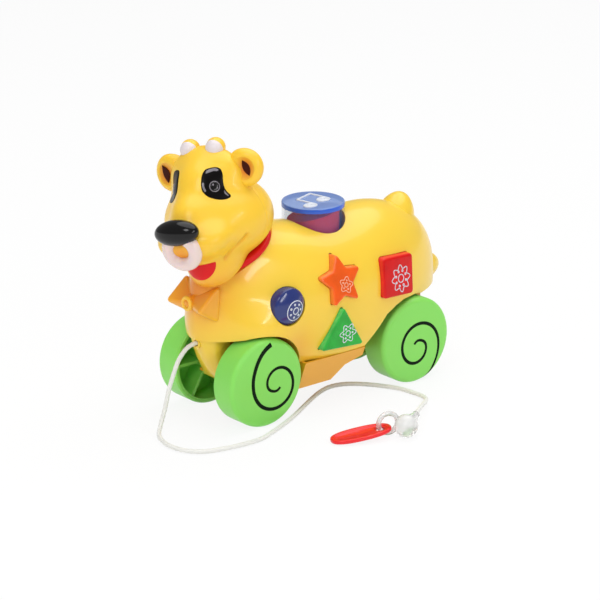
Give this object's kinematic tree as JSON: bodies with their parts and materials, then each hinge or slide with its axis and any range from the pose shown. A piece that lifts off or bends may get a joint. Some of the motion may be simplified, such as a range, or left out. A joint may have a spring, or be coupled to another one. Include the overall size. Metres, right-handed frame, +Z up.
{
  "type": "pull-along toy cow",
  "caption": "Pull-along musical toy cow on rolling wheels, with a turning head, press buttons on its side, a press-down music drum on its back and a pull cord with a tab.",
  "frame": {"origin": "on the floor, below the middle of the toy's plan without its cord", "axes": "+X towards the tail, +Y towards the cow's right side, +Z up"},
  "size_m": [0.2495, 0.1572, 0.1843],
  "materials": {
    "yellow_shell": "gloss moulded",
    "bow_tie": "gloss moulded",
    "chassis": "satin moulded",
    "white_plastic": "matte moulded",
    "steel": "bright",
    "cells": "painted",
    "circuit": "matte",
    "dark_plastic": "matte moulded",
    "black_plastic": "matte moulded",
    "rubber": "matte",
    "blue_button": "gloss moulded",
    "orange_button": "gloss, slightly clear",
    "green_button": "gloss, slightly clear",
    "red_button": "gloss, slightly clear",
    "lamps": "gloss",
    "blue_cap": "clear tinted",
    "clear_drum": "clear",
    "coral_insert": "gloss moulded",
    "red_plastic": "gloss moulded",
    "ears": "gloss moulded, with a brown slit",
    "horns": "gloss moulded",
    "eyes": "gloss",
    "nose": "high gloss",
    "nose_ring": "gloss, milky",
    "mouth": "gloss",
    "green_wheel": "satin moulded",
    "cord": "braided",
    "clear_ball": "clear",
    "pull_tab": "gloss moulded"
  },
  "bodies": {
    "body": {"body_left_shell": "yellow_shell", "body_right_shell": "yellow_shell", "shell_screws": "steel", "keel": "yellow_shell", "bow_tie": "bow_tie", "tail": "yellow_shell", "rear_bumper": "yellow_shell", "chassis": "chassis", "axle_bushes": "white_plastic", "battery_door": "chassis", "door_screw": "steel", "battery_cells": "cells", "battery_contacts": "steel", "circuit_board": "circuit", "speaker": "dark_plastic", "switch_body": "dark_plastic", "button_board": "circuit", "button_pads": "rubber", "drum_well": "white_plastic", "drum_switch": "rubber", "drum_lamps": "lamps", "collar": "red_plastic", "cord_knot": "cord", "pull_cord": "cord", "cord_ball": "clear_ball", "pull_tab": "pull_tab"},
    "power_switch": {"switch_knob": "black_plastic"},
    "round_press": {"round_button": "blue_button"},
    "star_press": {"star_button": "orange_button"},
    "triangle_press": {"triangle_button": "green_button"},
    "square_press": {"square_button": "red_button"},
    "music_drum": {"drum_cap": "blue_cap", "drum_wall_ring": "clear_drum", "drum_insert": "coral_insert"},
    "head": {"neck_pivot": "chassis", "neck_washer": "white_plastic", "neck_screw": "steel", "head_front_shell": "yellow_shell", "head_back_shell": "yellow_shell", "left_ear": "ears", "right_ear": "ears", "left_horn": "horns", "right_horn": "horns", "left_eye": "eyes", "right_eye": "eyes", "nose": "nose", "nose_ring": "nose_ring", "mouth": "mouth"},
    "front_wheels": {"front_axle": "steel", "front_left_wheel": "green_wheel", "front_right_wheel": "green_wheel"},
    "rear_wheels": {"rear_axle": "steel", "rear_left_wheel": "green_wheel", "rear_right_wheel": "green_wheel"}
  },
  "joints": [
    {"name": "front_roll", "type": "hinge", "parent": "body", "child": "front_wheels", "pos_m": [-0.0572, 0.0022, 0.029], "axis": [0, 1, 0], "continuous": true},
    {"name": "rear_roll", "type": "hinge", "parent": "body", "child": "rear_wheels", "pos_m": [0.069, 0.0022, 0.029], "axis": [0, 1, 0], "continuous": true},
    {"name": "head_turn", "type": "hinge", "parent": "body", "child": "head", "pos_m": [-0.0516, 0.0022, 0.1085], "axis": [-0.5, 0, 0.866], "range_deg": [-59, 11]},
    {"name": "round_push", "type": "slide", "parent": "body", "child": "round_press", "axis": [0, 1, 0], "range_m": [0, 0.002], "stiffness_N_per_m": 600, "springref_m": -0.0005},
    {"name": "star_push", "type": "slide", "parent": "body", "child": "star_press", "axis": [0, 1, 0], "range_m": [0, 0.002], "stiffness_N_per_m": 600, "springref_m": -0.0005},
    {"name": "triangle_push", "type": "slide", "parent": "body", "child": "triangle_press", "axis": [0, 1, 0], "range_m": [0, 0.002], "stiffness_N_per_m": 600, "springref_m": -0.0005},
    {"name": "square_push", "type": "slide", "parent": "body", "child": "square_press", "axis": [0, 1, 0], "range_m": [0, 0.002], "stiffness_N_per_m": 600, "springref_m": -0.0005},
    {"name": "drum_push", "type": "slide", "parent": "body", "child": "music_drum", "axis": [0, 0, -1], "range_m": [0, 0.003], "stiffness_N_per_m": 500, "springref_m": -0.002},
    {"name": "power_slide", "type": "slide", "parent": "body", "child": "power_switch", "axis": [0, 1, 0], "range_m": [0, 0.004]}
  ]
}
